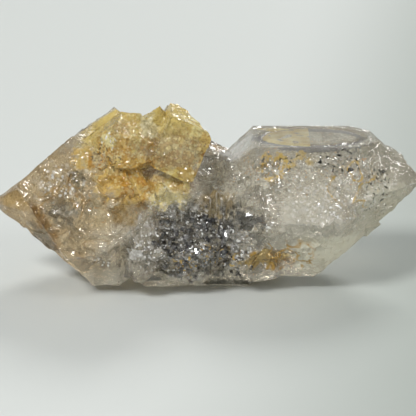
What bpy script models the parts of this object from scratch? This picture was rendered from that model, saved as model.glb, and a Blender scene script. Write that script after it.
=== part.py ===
"""A skeletal quartz crystal with a point at each end: two large points back to back, golden blocky
crystals on one shoulder, a dark rough waist between them, and a broad flat window on top with a
shallow rounded channel round it.

Everything is grown from one form, the quartz crystal: a six-sided prism with six end faces at each
end. Lengths in the tables are millimetres, and X runs along the piece, -Y is its front, Z is up.
The origin is on the surface it lies on, in the middle of its length and depth."""

import math
import random

import bmesh
import bpy
import numpy as np
from mathutils import Matrix, Vector
from mathutils.bvhtree import BVHTree

MM = 0.001

# Quartz angles: prism faces are 60 degrees apart, and an end face leans 38.2 degrees from the axis.
SIDES = 6
END_FACE_LEAN = math.radians(38.2)
STEEP_FACE_LEAN = math.radians(31.0)  # the left tip ends in steeper faces

# Driving dimensions of the piece.
LENGTH = 92.5
LEFT_TIP = Vector((-46.5, 0.0, 17.0))
RIGHT_TIP = Vector((LEFT_TIP.x + LENGTH, 0.0, 21.1))
WINDOW_HEIGHT = 31.5  # above the surface that the piece lies on
WINDOW_ENDS = (10.0, 34.7)  # in X
LEFT_POINT = {
    "width": 33.2,  # across opposite side faces
    "middle_x": -20.0,
    "over_ground": 1.4,
    "tips": (24.2, 22.0),
    "tip_drop": -0.8,
    "less_grown": {0: 3.6, 1: 2.4, 5: 1.6},  # the side faces on top, at the upper front and back
}
LEFT_TIP_CRYSTAL = {"width": 7.0, "tips": (11.6, 10.0)}
RIGHT_POINT = {
    "width": 28.6,
    "middle_x": 18.2,
    "top_end_face": (0.8, -0.6),  # past the tip along X, and above it
    "low_end_faces": 0.2,  # short of the tip along X, and past it behind
}

X_AXIS = Vector((1.0, 0.0, 0.0))
Z_AXIS = Vector((0.0, 0.0, 1.0))

# The channel round the window: an oval in the window's face.
CHANNEL = {
    "centre": (22.3, 0.1),
    "half_length": 10.8,
    "half_depth": 6.8,
    "half_width": 0.95,
    "depth": 0.45,
    "flat_bottom": 0.4,  # of its width
    "steps": 36,
}


def end_normal(side, end, lean=END_FACE_LEAN):
    """Where an end face looks, on a crystal whose axis is X and whose first side face looks up."""
    turn = side * 2 * math.pi / SIDES
    across = math.cos(lean)
    return Vector((end * math.sin(lean), -math.sin(turn) * across, math.cos(turn) * across))


def crystal_planes(
    width, tips, tip_shift=(0.0, 0.0), blocky=0.0, uneven=0.06, seed=0, own=None, lean=END_FACE_LEAN
):
    """(normal, distance) of each face about the crystal's centre, with its axis along X.

    width is the distance of the side faces, tips the reach to the two points along -X and +X, and
    tip_shift moves the points sideways. blocky pushes every other end face out, by that share, so
    that three are left. uneven lets each face grow a little more or less. own holds the distance
    of single faces, by side and end. lean is the angle of the end faces from the axis."""
    dice = random.Random(seed)
    own = own or {}
    planes = []
    for side in range(SIDES):
        turn = side * 2 * math.pi / SIDES
        across = Vector((0.0, -math.sin(turn), math.cos(turn)))
        planes.append((across, own.get((side, 0), width * dice.uniform(1 - uneven, 1 + uneven))))
        for end, reach in zip((-1, 1), tips):
            normal = end_normal(side, end, lean)
            tip = Vector((end * reach, tip_shift[0], tip_shift[1]))
            minor = side % 2 == (end > 0)
            grown = normal.dot(tip) * (1 + blocky * minor) * dice.uniform(1 - uneven, 1 + uneven / 3)
            planes.append((normal, own.get((side, end), grown)))
    return planes


def cut_off(bm, normal, distance):
    """Cuts away what lies beyond a plane, and closes the cut."""
    everything = bm.verts[:] + bm.edges[:] + bm.faces[:]
    cut = bmesh.ops.bisect_plane(
        bm, geom=everything, plane_co=Vector(normal) * distance, plane_no=normal, clear_outer=True
    )
    rim = [part for part in cut["geom_cut"] if isinstance(part, bmesh.types.BMEdge)]
    if rim:
        bmesh.ops.contextual_create(bm, geom=rim)


def standing(axis, face):
    """The turn that lays a crystal's own axis along axis, with its first side face towards face."""
    along = Vector(axis).normalized()
    towards = Vector(face)
    towards = (towards - along * towards.dot(along)).normalized()
    return Matrix((along, towards.cross(along), towards)).transposed().to_4x4()


def add_object(name, bm):
    mesh = bpy.data.meshes.new(name)
    bm.to_mesh(mesh)
    bm.free()
    obj = bpy.data.objects.new(name, mesh)
    bpy.context.scene.collection.objects.link(obj)
    return obj


def crystal(name, centre, axis, face, width, tips, **form):
    """One quartz crystal as an object, cut out of a cube by its faces. Its numbers are millimetres."""
    bm = bmesh.new()
    bmesh.ops.create_cube(bm, size=4 * max(width, *tips))
    for normal, distance in crystal_planes(width, tips, **form):
        cut_off(bm, normal, distance)
    bmesh.ops.recalc_face_normals(bm, faces=bm.faces)
    bm.transform(Matrix.Scale(MM, 4) @ Matrix.Translation(Vector(centre)) @ standing(axis, face))
    return add_object(name, bm)


def end_face_at(centre, point, side, end):
    """The distance from a level crystal's centre of the end face that passes through point."""
    return end_normal(side, end).dot(Vector(point) - Vector(centre))


# The two directions that set a large crystal: its axis, and where its first side face looks.
LEVEL = (X_AXIS, Z_AXIS)
LEFT_FRONT_LIES = (Vector((-0.910, -0.354, 0.216)), Vector((-0.25, -0.92, 0.29)))
BLOCK_LIES = (Vector((0.805, -0.522, 0.282)), Vector((0.187, -0.981, 0.042)))


def right_point():
    """The right point, whose top face is the window."""
    half = RIGHT_POINT["width"] / 2
    centre = Vector((RIGHT_POINT["middle_x"], 0.0, WINDOW_HEIGHT - half))
    over_left, over_right = (Vector((x, 0, WINDOW_HEIGHT)) for x in WINDOW_ENDS)
    past, above = RIGHT_POINT["top_end_face"]
    over_tip = RIGHT_TIP + Vector((past, 0, above))
    under_tip = RIGHT_TIP - X_AXIS * RIGHT_POINT["low_end_faces"]
    behind_tip = RIGHT_TIP + X_AXIS * RIGHT_POINT["low_end_faces"]
    passes = [over_right, over_tip, under_tip, under_tip, under_tip, behind_tip]
    left_reach = end_face_at(centre, over_left, 0, -1) / math.sin(END_FACE_LEAN)
    return crystal(
        "right point", centre, *LEVEL, half, (left_reach, (RIGHT_TIP - centre).x), uneven=0.0,
        own={(side, 1): end_face_at(centre, point, side, 1) for side, point in enumerate(passes)},
    )


def left_point():
    """The left point, whose upper faces have grown less, and the steeper crystal at its tip."""
    half = LEFT_POINT["width"] / 2
    centre = Vector((LEFT_POINT["middle_x"], 0, half + LEFT_POINT["over_ground"]))
    main = crystal(
        "left point", centre, *LEVEL, half, LEFT_POINT["tips"], tip_shift=(0, LEFT_POINT["tip_drop"]),
        uneven=0.0, own={(side, 0): half - less for side, less in LEFT_POINT["less_grown"].items()},
    )
    width, tips = LEFT_TIP_CRYSTAL["width"], LEFT_TIP_CRYSTAL["tips"]
    centre = LEFT_TIP + X_AXIS * tips[0]
    tip = crystal("left tip", centre, *LEVEL, width, tips, uneven=0.0, lean=STEEP_FACE_LEAN)
    return [main, tip]


def main_crystals():
    """The large crystals, each placed by hand."""
    table = {
        "left front": dict(
            centre=(-19.8, -0.7, 18.6), axis=LEFT_FRONT_LIES[0], face=LEFT_FRONT_LIES[1], width=16.2,
            tips=(16, 22), blocky=1.0, uneven=0.0, own={(1, 0): 13.4, (2, 0): 12.6},
        ),
        "golden block left": dict(
            centre=(-17.2, -8.8, 32.4), axis=(1, -0.16, -0.10), face=(0.04, -0.5, 0.87), width=6.2,
            tips=(8.8, 10.9), uneven=0.02, seed=3,
        ),
        "golden block left back": dict(
            centre=(-20.5, 1.0, 31.0), axis=(1, 0.1, -0.1), face=(0, 0.2, 1), width=6.4,
            tips=(7.5, 9), seed=5,
        ),
        "golden block right": dict(
            centre=(-5.2, -7.6, 32.3), axis=BLOCK_LIES[0], face=BLOCK_LIES[1], width=8.6,
            tips=(8.7, 8.7), blocky=1.0, uneven=0.0,
            own={(4, 1): 5.9, (1, -1): 5.9, (2, 1): 4.95, (5, -1): 4.95, (3, 0): 5.4, (3, 1): 4.7},
        ),
        "golden block middle": dict(
            centre=(-11.0, -3.0, 32.6), axis=(0.2, -0.2, 1), face=(0.3, -1, 0), width=5.0,
            tips=(9, 7.6), uneven=0.04, seed=12,
        ),
        "golden block back": dict(
            centre=(-7.5, 4.0, 29.0), axis=(-0.1, 0.3, 1), face=(1, 0.4, 0), width=6.6,
            tips=(11, 8.6), seed=13,
        ),
        "golden foot": dict(
            centre=(-9.0, -5.5, 22.5), axis=(0.1, 0, 1), face=(0.2, -1, 0), width=8.2,
            tips=(13, 11), seed=14,
        ),
        "golden column": dict(
            centre=(-17.4, -14.2, 19.4), axis=(0.05, 0, 1), face=(0.3, -1, 0), width=2.9,
            tips=(8.6, 9.6), seed=21,
        ),
        "grey column": dict(
            centre=(-13.4, -12.2, 12.6), axis=(0, 0.04, 1), face=(0.1, -1, 0), width=3.6,
            tips=(10, 9.5), seed=22,
        ),
        "waist": dict(
            centre=(-1, 2, 12.3), axis=X_AXIS, face=Z_AXIS, width=12.3, tips=(27.5, 26), uneven=0.0,
        ),
        "waist upper": dict(
            centre=(3, 1.5, 15.5), axis=(1, 0.05, 0.04), face=(0, -0.5, 0.87), width=10.6,
            tips=(18, 18), seed=32,
        ),
        "waist front": dict(
            centre=(-6, -5.0, 11.0), axis=(1, 0.06, 0), face=(0, -0.1, 1), width=8.6,
            tips=(15, 17), seed=33,
        ),
        "waist front right": dict(
            centre=(7.5, -6.4, 12.5), axis=(1, -0.1, 0.12), face=(0, -0.4, 1), width=7.6,
            tips=(12, 12), seed=34,
        ),
        "amber ledge": dict(
            centre=(12.3, -7.6, 5.6), axis=(1, 0.1, 0.06), face=(0, -0.2, 1), width=3.2,
            tips=(8, 6.5), seed=35,
        ),
        "lower ledge": dict(
            centre=(-9.5, -6.2, 4.0), axis=(1, -0.1, 0.05), face=(0, -0.5, 1), width=3.4,
            tips=(8, 8), seed=36,
        ),
        "back point": dict(
            centre=(2, 9.5, 21.5), axis=(-0.5, 0.25, 1), face=(0, 1, 0), width=4.4, tips=(9, 8.5),
            seed=41,
        ),
        "back block": dict(
            centre=(-6, 9.0, 15.5), axis=(1, 0.25, 0.1), face=(0, 0.3, 1), width=6.8, tips=(14, 13),
            seed=42,
        ),
    }
    return left_point() + [right_point()] + [crystal(name, **row) for name, row in table.items()]


def joined(name, pieces):
    """The outside of several overlapping pieces as one new object. The pieces are used up."""
    first, others = pieces[0], bpy.data.collections.new(name)
    for piece in pieces[1:]:
        others.objects.link(piece)
    together = first.modifiers.new("grown together", "BOOLEAN")
    together.operation = "UNION"
    together.solver = "MANIFOLD"  # EXACT leaves holes where nearly parallel crystal faces meet
    together.operand_type = "COLLECTION"
    together.collection = others
    return evaluated_copy(name, first, pieces)


def carved(name, body, cutters):
    """The body less the cutters, as one new object. Both are used up."""
    group = bpy.data.collections.new(name)
    for cutter in cutters:
        group.objects.link(cutter)
    cut = body.modifiers.new("carved", "BOOLEAN")
    cut.operation = "DIFFERENCE"
    cut.solver = "MANIFOLD"  # as above
    cut.operand_type = "COLLECTION"
    cut.collection = group
    return evaluated_copy(name, body, [body] + cutters)


def evaluated_copy(name, obj, used_up):
    bpy.context.view_layer.update()
    mesh = bpy.data.meshes.new_from_object(obj.evaluated_get(bpy.context.evaluated_depsgraph_get()))
    for piece in used_up:
        bpy.data.objects.remove(piece)
    made = bpy.data.objects.new(name, mesh)
    bpy.context.scene.collection.objects.link(made)
    return made


class Surface:
    """The surface so far, on which small crystals grow."""

    def __init__(self, obj):
        bm = bmesh.new()
        bm.from_mesh(obj.data)
        self.tree = BVHTree.FromBMesh(bm)
        bm.free()

    def seen_from(self, side, across, height):
        """(point, normal) in millimetres where a line from that side first meets the surface."""
        reach = 100 * MM
        start, direction = {
            "front": (Vector((across * MM, -reach, height * MM)), Vector((0, 1, 0))),
            "back": (Vector((across * MM, reach, height * MM)), Vector((0, -1, 0))),
            "top": (Vector((across * MM, height * MM, reach)), Vector((0, 0, -1))),
        }[side]
        point, normal, _, _ = self.tree.ray_cast(start, direction)
        return (None, None) if point is None else (point / MM, normal)


TERRACE_REACH = (1.35, 1.9)  # of a plate's ends, in shares of its size
# Terraces: low plates that share a large crystal's directions. A zone is a rectangle seen from one
# side, X from and to, then Z from and to (Y from and to, seen from the top).
TERRACES = [
    # name, lies, side, x, z, count, size, lift
    ("left front", LEFT_FRONT_LIES, "front", (-34, -20), (10, 27), 10, (2.6, 5.2), (0.2, 0.6)),
    ("left edge", LEVEL, "front", (-40, -28), (8, 14), 3, (2.6, 3.6), (0.15, 0.3)),
    ("left back", LEVEL, "back", (-38, -20), (8, 27), 12, (3.4, 6.4), (0.25, 0.8)),
    ("right front", LEVEL, "front", (14, 31), (19, 27), 9, (2.2, 4.2), (0.15, 0.45)),
    ("right end", LEVEL, "front", (31, 40), (12, 26), 8, (1.6, 3.0), (0.15, 0.4)),
    ("right below", LEVEL, "front", (14, 28), (6, 12), 6, (2.4, 4.0), (0.15, 0.4)),
    ("right back", LEVEL, "back", (11, 39), (7, 27), 13, (3.4, 6.4), (0.25, 0.8)),
    ("shoulder", LEVEL, "top", (36.5, 41), (-6, 3), 5, (1.6, 2.6), (0.2, 0.5)),
]
# Druse: small crystals that stand out of a rough place. Where they grew parallel to the large
# crystals, along says how far their axes follow X, and lean how much they scatter.
DRUSE = [
    # name, side, x, z, count, size, lean, along
    ("waist front", "front", (-12, 10), (4, 18), 46, (0.9, 2.0), 0.25, 1.1),
    ("under the golden blocks", "front", (-11, -1), (18, 25), 14, (0.8, 1.7), 0.3, 0.5),
    ("golden blocks", "front", (-23, -11), (20, 28), 10, (1.3, 2.6), 0.2, 0.7),
    ("right of the waist", "front", (6, 15), (12, 27), 15, (0.9, 1.8), 0.2, 1.1),
    ("waist top", "top", (2.5, 5), (-9, 1), 6, (0.9, 1.7), 0.3, 0.6),
    ("waist back", "back", (-14, 10), (5, 25), 24, (1.0, 2.2), 0.35, 1.0),
    ("lower edge", "front", (-16, 17), (4, 7), 14, (0.9, 1.7), 0.25, 1.1),
]
DRUSE_FORM = {  # in shares of a crystal's size
    "root": 2.6,
    "reach": (1.9, 2.7),
    "sunk": (0.3, 1.2),
}
COLUMNS = {
    "x": (-1.2, 6.4),
    "count": 6,
    "foot": (12.0, 14.0),
    "head": (21.0, 24.5),
    "half_width": (0.8, 1.15),
    "sunk": -0.1,
}


def terraces(surface):
    made = []
    for name, lies, side, xs, zs, count, sizes, lifts in TERRACES:
        dice = random.Random(name)
        for n in range(count):
            point, normal = surface.seen_from(side, dice.uniform(*xs), dice.uniform(*zs))
            width, lift = dice.uniform(*sizes), dice.uniform(*lifts)
            tips = (width * dice.uniform(*TERRACE_REACH), width * dice.uniform(*TERRACE_REACH))
            if point is None:
                continue
            plate = crystal(f"{name} {n}", (0, 0, 0), *lies, width, tips, uneven=0.2, seed=n)
            reach = max(normal.dot(v.co) for v in plate.data.vertices) / MM
            plate.data.transform(Matrix.Translation((point + normal * (lift - reach)) * MM))
            made.append(plate)
    return made


def druse(surface):
    made = []
    for name, side, xs, zs, count, sizes, lean, along in DRUSE:
        dice = random.Random(name)
        for n in range(count):
            point, normal = surface.seen_from(side, dice.uniform(*xs), dice.uniform(*zs))
            width = dice.uniform(*sizes)
            tilt, face = (Vector([dice.gauss(0, 1) for _ in range(3)]) for _ in range(2))
            sunk = width * dice.uniform(*DRUSE_FORM["sunk"])
            tips = (width * DRUSE_FORM["root"], width * dice.uniform(*DRUSE_FORM["reach"]))
            parallel = X_AXIS * along * dice.choice((-1, 1))
            if point is None:
                continue
            axis = normal + parallel + tilt * lean
            made.append(
                crystal(f"{name} {n}", point - normal * sunk, axis, face, width, tips, uneven=0.12, seed=n)
            )
    return made


def columns(surface):
    """The row of thin upright crystals in the waist."""
    dice = random.Random("columns")
    start, end = COLUMNS["x"]
    made = []
    for n in range(COLUMNS["count"]):
        x = start + (end - start) * n / (COLUMNS["count"] - 1)
        foot, head = dice.uniform(*COLUMNS["foot"]), dice.uniform(*COLUMNS["head"])
        middle, half = (foot + head) / 2, (head - foot) / 2
        point, _ = surface.seen_from("front", x, middle)
        centre = (x, point.y + COLUMNS["sunk"], middle)
        face = (dice.uniform(-1, 1), -1, 0)
        width = dice.uniform(*COLUMNS["half_width"])
        made.append(
            crystal(f"column {n}", centre, Z_AXIS, face, width, (half, half), uneven=0.1, seed=n)
        )
    return made


def hollows(surface):
    """Shallow rounded hollows, where the edges of a face grew faster than its middle."""
    rows = [
        # side, x, z, half length, half height, depth
        ("front", -31.0, 16.2, 3.6, 2.6, 1.3),
        ("front", -29.4, 22.6, 1.5, 2.8, 0.9),
        ("front", -25.0, 11.0, 2.6, 1.6, 0.8),
        ("front", -36.2, 19.6, 1.9, 1.4, 0.7),
        ("front", 33.0, 23.0, 3.0, 2.6, 0.8),
        ("front", 24.5, 27.2, 3.4, 1.2, 0.6),
        ("front", 20.5, 12.6, 3.4, 1.8, 0.9),
        ("front", 37.5, 19.0, 2.6, 1.3, 0.6),
        ("back", -33.0, 17.0, 4.6, 3.4, 1.5),
        ("back", 24.0, 20.0, 5.0, 2.8, 1.2),
        ("back", 37.0, 17.0, 3.4, 2.2, 1.0),
    ]
    made = []
    for side, x, z, half_length, half_height, depth in rows:
        point, normal = surface.seen_from(side, x, z)
        bm = bmesh.new()
        bmesh.ops.create_icosphere(bm, subdivisions=2, radius=1.0)
        size = Matrix.Diagonal((2 * depth, half_length, half_height, 1))
        place = Matrix.Translation(point + normal * depth)
        bm.transform(Matrix.Scale(MM, 4) @ place @ standing(normal, Z_AXIS) @ size)
        made.append(add_object("hollow", bm))
    return made


def window_channel():
    """A ring with a rounded section, which cuts the oval channel into the window's face."""
    half, depth = CHANNEL["half_width"], CHANNEL["depth"]
    bottom, over = half * CHANNEL["flat_bottom"], depth
    section = [
        (-half, over), (-half, 0), (-bottom, -depth), (bottom, -depth), (half, 0), (half, over),
    ]
    middle_x, middle_y = CHANNEL["centre"]
    bm = bmesh.new()
    rings = []
    for step in range(CHANNEL["steps"]):
        turn = 2 * math.pi * step / CHANNEL["steps"]
        ring = []
        for out, up in section:
            x = middle_x + (CHANNEL["half_length"] + out) * math.cos(turn)
            y = middle_y + (CHANNEL["half_depth"] + out) * math.sin(turn)
            ring.append(bm.verts.new((x * MM, y * MM, (WINDOW_HEIGHT + up) * MM)))
        rings.append(ring)
    for this, following in zip(rings, rings[1:] + rings[:1]):
        for a in range(len(section)):
            b = (a + 1) % len(section)
            bm.faces.new((this[a], this[b], following[b], following[a]))
    bmesh.ops.recalc_face_normals(bm, faces=bm.faces)
    return add_object("window channel", bm)


def ground():
    """A block with its top at Z 0. It cuts the underside flat, where the piece rests."""
    bm = bmesh.new()
    bmesh.ops.create_cube(bm, size=2 * LENGTH)
    bm.transform(Matrix.Scale(MM, 4) @ Matrix.Translation((0, 0, -LENGTH)))
    return add_object("ground", bm)


def islands(bm):
    """The faces of each closed surface in a mesh."""
    unseen = set(bm.faces)
    while unseen:
        reached, waiting = set(), [unseen.pop()]
        while waiting:
            face = waiting.pop()
            reached.add(face)
            beside = {other for edge in face.edges for other in edge.link_faces} & unseen
            unseen -= beside
            waiting.extend(beside)
        yield reached


def keep_outer_surface(obj):
    """Fills the pockets that crystals have closed off between them, and leaves triangles."""
    bm = bmesh.new()
    bm.from_mesh(obj.data)
    inner = sorted(islands(bm), key=len)[:-1]
    bmesh.ops.delete(bm, geom=[face for island in inner for face in island], context="FACES")
    bmesh.ops.triangulate(bm, faces=bm.faces)
    bm.to_mesh(obj.data)
    bm.free()


def centre_on_origin(obj):
    corners = np.array([v.co for v in obj.data.vertices])
    low, high = corners.min(axis=0), corners.max(axis=0)
    obj.data.transform(Matrix.Translation((-(low[0] + high[0]) / 2, -(low[1] + high[1]) / 2, 0)))


def quartz_material():
    material = bpy.data.materials.new("smoky quartz")
    material.use_nodes = True
    shader = material.node_tree.nodes["Principled BSDF"]
    shader.inputs["Base Color"].default_value = (0.55, 0.47, 0.34, 1)
    shader.inputs["Roughness"].default_value = 0.15
    shader.inputs["Metallic"].default_value = 0.0
    shader.inputs["IOR"].default_value = 1.544
    return material


def clear_scene():
    for obj in list(bpy.data.objects):
        bpy.data.objects.remove(obj)


def main():
    clear_scene()
    body = joined("main crystals", main_crystals())
    surface = Surface(body)
    small = terraces(surface) + druse(surface) + columns(surface)
    body = joined("quartz", [body] + small)
    body = carved("quartz_crystal", body, hollows(surface) + [window_channel(), ground()])
    keep_outer_surface(body)
    centre_on_origin(body)
    body.name = "quartz_crystal"
    body.data.materials.clear()
    body.data.materials.append(quartz_material())


main()
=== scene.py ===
import math
from functools import partial

import bmesh
import bpy
import numpy as np
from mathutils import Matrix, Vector, noise
from mathutils.bvhtree import BVHTree


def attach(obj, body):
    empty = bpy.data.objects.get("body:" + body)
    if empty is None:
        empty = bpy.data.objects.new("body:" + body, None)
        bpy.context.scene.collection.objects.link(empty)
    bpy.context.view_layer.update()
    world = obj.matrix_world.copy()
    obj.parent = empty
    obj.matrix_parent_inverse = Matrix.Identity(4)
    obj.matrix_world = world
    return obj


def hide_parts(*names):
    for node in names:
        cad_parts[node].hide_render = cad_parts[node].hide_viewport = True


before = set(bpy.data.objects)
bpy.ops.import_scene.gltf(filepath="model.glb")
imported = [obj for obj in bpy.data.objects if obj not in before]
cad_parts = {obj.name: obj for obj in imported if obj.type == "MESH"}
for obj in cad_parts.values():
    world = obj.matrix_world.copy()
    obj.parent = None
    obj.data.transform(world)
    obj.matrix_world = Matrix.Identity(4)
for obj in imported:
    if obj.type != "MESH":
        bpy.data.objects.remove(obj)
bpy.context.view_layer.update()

# A double-ended skeletal quartz crystal lying on its side: two large points back to back, golden
# blocky crystals on one shoulder, a dark rough waist, and a broad clear window on top with the
# oval outline of a chamber under it. X runs along it, -Y is its front. Tables are in millimetres
# unless they say otherwise.

mm = 0.001
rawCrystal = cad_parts["quartz_crystal"]


def hexColour(code):  # sRGB hex to the linear colour that sockets hold
    parts = [int(code[i:i + 2], 16) / 255 for i in (1, 3, 5)]
    linear = [c / 12.92 if c <= 0.04045 else ((c + 0.055) / 1.055) ** 2.4 for c in parts]
    return (*linear, 1.0)


def addNode(tree, kind, inputs=None, **settings):  # a node, set and linked; gives its outputs
    node = tree.nodes.new(kind)
    for name, value in settings.items():
        setattr(node, name, value)
    for socket, value in (inputs or {}).items():
        if isinstance(value, bpy.types.NodeSocket):
            tree.links.new(value, node.inputs[socket])
        else:
            node.inputs[socket].default_value = value
    return node.outputs


def newMaterial(name):
    material = bpy.data.materials.new(name)
    material.use_nodes = True
    material.node_tree.nodes.clear()
    return material, material.node_tree


blotchFade = (0.42, 0.62)  # values of the noise between which the dark tone fades in


def blotchedMaterial(name, light, dark, blotchSize, roughness):  # two tones in soft blotches
    material, tree = newMaterial(name)
    add = partial(addNode, tree)
    place = add("ShaderNodeTexCoord")["Object"]
    blotches = add("ShaderNodeTexNoise", {
        "Vector": place, "Scale": 1 / (blotchSize * mm), "Detail": 4.0})["Fac"]
    low, high = blotchFade
    share = add("ShaderNodeMapRange", {"Value": blotches, "From Min": low, "From Max": high})[0]
    tone = add("ShaderNodeMix", {"Factor": share, "A": hexColour(light), "B": hexColour(dark)},
               data_type="RGBA")["Result"]
    shader = add("ShaderNodeBsdfPrincipled", {"Base Color": tone, "Roughness": roughness})[0]
    add("ShaderNodeOutputMaterial", {"Surface": shader})
    return material


def newObject(name, mesh):
    obj = bpy.data.objects.new(name, mesh)
    bpy.context.scene.collection.objects.link(obj)
    return obj


# Camera: level with the crystal's length and looking a little down on it, from far off.
cameraSetup = {
    "elevation": 18,
    "lens": 180,
    "sensor": 36,
    "pixelsPerMm": 4.65,
    "imageWidth": 416,
    "lookAt": (0.62, 14.95),  # along X and up the picture, from the origin
}


def makeCamera(setup):
    tilt = math.radians(setup["elevation"])
    fieldWidth = setup["imageWidth"] / setup["pixelsPerMm"] * mm
    distance = fieldWidth * setup["lens"] / setup["sensor"]
    upPicture = Vector((0, math.sin(tilt), math.cos(tilt)))
    away = Vector((0, -math.cos(tilt), math.sin(tilt)))
    across, up = (length * mm for length in setup["lookAt"])
    camera = bpy.data.cameras.new("camera")
    camera.lens = setup["lens"]
    camera.sensor_width = setup["sensor"]
    camera.clip_start = 0.01
    obj = newObject("camera", camera)
    obj.location = Vector((across, 0, 0)) + upPicture * up + away * distance
    obj.rotation_euler = (math.pi / 2 - tilt, 0, 0)
    bpy.context.scene.camera = obj


makeCamera(cameraSetup)

# Stage: a pale paper sweep all round, lit by soft lights. Its lengths are in metres.
stageSetup = {
    "flatRadius": 0.75,
    "curveRadius": 0.45,
    "curveSteps": 12,
    "wallHeight": 1.1,
    "sides": 96,
    "paperRoughness": 0.9,
    "paper": "#c2c5c2",
    "paperInPaintedShade": "#999f99",
    "darkens": (-0.01, 0.065),  # where the painted shade fades in, from where to where, along the next line's direction
    "darkensTowards": (1.0, -0.15, 0.0),
    "world": "#e6e8ea",
    "worldStrength": 0.39,
}
lights = [
    # name, place, aims at, size, watts
    ("key light", (-0.45, -0.55, 0.75), (0, 0, 0.02), 0.28, 8.0),
    ("back light", (0.25, 0.75, 0.70), (0, 0, 0.02), 0.40, 5.8),
    ("side light", (0.80, -0.25, 0.35), (0, 0, 0.02), 0.22, 2.6),
]


def makeStage(setup):
    profile = [(0.0, 0.0), (setup["flatRadius"], 0.0)]
    for step in range(1, setup["curveSteps"] + 1):
        turn = step / setup["curveSteps"] * math.pi / 2
        profile.append((setup["flatRadius"] + math.sin(turn) * setup["curveRadius"],
                        (1 - math.cos(turn)) * setup["curveRadius"]))
    profile.append((profile[-1][0], setup["wallHeight"]))
    bm = bmesh.new()
    points = [bm.verts.new((out, 0, up)) for out, up in profile]
    edges = [bm.edges.new(pair) for pair in zip(points, points[1:])]
    bmesh.ops.spin(bm, geom=points + edges, cent=(0, 0, 0), axis=(0, 0, 1),
                   angle=2 * math.pi, steps=setup["sides"])
    bmesh.ops.remove_doubles(bm, verts=bm.verts, dist=1e-5)
    bmesh.ops.recalc_face_normals(bm, faces=bm.faces)
    mesh = bpy.data.meshes.new("paper_sweep")
    bm.to_mesh(mesh)
    bm.free()
    mesh.shade_smooth()
    material, tree = newMaterial("matt paper, rolled")  # matt, with no shine; its tone darkens towards the front right as painted shade
    add = partial(addNode, tree)
    place = add("ShaderNodeTexCoord")["Object"]
    # painted shade: the paper's tone goes over to a darker grey towards the front right
    forward = add("ShaderNodeVectorMath", {0: place, 1: setup["darkensTowards"]},
                  operation="DOT_PRODUCT")["Value"]
    low, high = setup["darkens"]
    share = add("ShaderNodeMapRange", {"Value": forward, "From Min": low, "From Max": high},
                interpolation_type="SMOOTHSTEP")[0]
    tone = add("ShaderNodeMix", {"Factor": share, "A": hexColour(setup["paper"]),
                                 "B": hexColour(setup["paperInPaintedShade"])}, data_type="RGBA")["Result"]
    shader = add("ShaderNodeBsdfPrincipled", {"Base Color": tone,
                                              "Roughness": setup["paperRoughness"]})[0]
    add("ShaderNodeOutputMaterial", {"Surface": shader})
    mesh.materials.append(material)
    newObject("paper_sweep", mesh)


def makeLights(setup, table):
    for name, place, aim, size, watts in table:
        light = bpy.data.lights.new(name, "AREA")
        light.shape = "DISK"
        light.size = size
        light.energy = watts
        lamp = newObject(name, light)
        lamp.location = place
        lamp.rotation_euler = (Vector(aim) - Vector(place)).to_track_quat("-Z", "Y").to_euler()
        lamp.visible_camera = False
    world = bpy.data.worlds.new("pale room")
    world.use_nodes = True
    background = world.node_tree.nodes["Background"]
    background.inputs["Color"].default_value = hexColour(setup["world"])
    background.inputs["Strength"].default_value = setup["worldStrength"]
    bpy.context.scene.world = world
    bpy.context.scene.view_settings.view_transform = "Standard"


makeStage(stageSetup)
makeLights(stageSetup, lights)
print("stage, lights and camera made")

# Quartz material. Its stains, and the highlights and glints painted among them, are at places on the
# crystal, soft-edged or broken into a pattern.
quartzLooks = {
    "clearTone": "#fdf8ea",
    "greyTone": "#e4dccb",
    "ior": 1.544,
    "clearness": 0.80,
    "roughness": (0.03, 0.14),
    "smokeColour": "#cfbd99",
    "smokeDensity": 5.0,
    "ragged": {"by": 3.0, "size": 2.2, "detail": 3.0},  # how a stain's edge wanders
    "stainEdge": 0.3,  # how soft, as a share of the reach
    "smoothEdge": 0.2,
    "noiseRoughness": 0.6,
    "facets": {  # flat etched facets; the tiny ones are drawn coarser than the real etching
        "fine": {"size": 0.8, "slope": 0.7},
        "coarse": {"size": 2.6, "slope": 0.5},
        "tiny": {"size": 0.4, "slope": 0.9},
    },
    "noises": {  # size, detail, and the values between which it fades in
        "etching": (8.0, 2.0, 0.42, 0.60),
        "sparkling": (3.0, 3.0, 0.46, 0.56),
        "clouds": (6.0, 4.0, 0.38, 0.62),
        "patches": (2.2, 4.0, 0.46, 0.54),
        "specks": (0.9, 2.0, 0.57, 0.61),
        "grain": (0.9, 5.0, 0.35, 0.65),
        "fineGrain": (0.45, 3.0, 0.46, 0.62),
    },
    "facetPatterns": {  # which facets, which of their random tones, and where it fades in
        "dark facets": [("fine", "Red", 0.68, 0.76), ("coarse", "Red", 0.66, 0.70)],
        "pale facets": [("fine", "Green", 0.76, 0.95), ("coarse", "Green", 0.80, 1.10)],
        # painted glints: tiny facets whose blue tone is high take a bright colour that stands in for
        # lamp glints
        "painted glints": [("tiny", "Blue", 0.86, 0.90)],
    },
    "veins": {"size": 6.5, "detail": 1.5, "fadesIn": (0.025, 0.005)},
    "stripes": {"width": 0.75, "length": 9.0, "fadesIn": (0.55, 0.62)},  # upright
    "streaks": {"width": 0.9, "length": 10.0, "lean": 52, "depth": 0.2, "onSmooth": 0.1},
    "etching": (0.2, 0.7),  # least and most
    "grainTone": "#8d7c60",
    "grainShare": 0.35,
}
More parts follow.
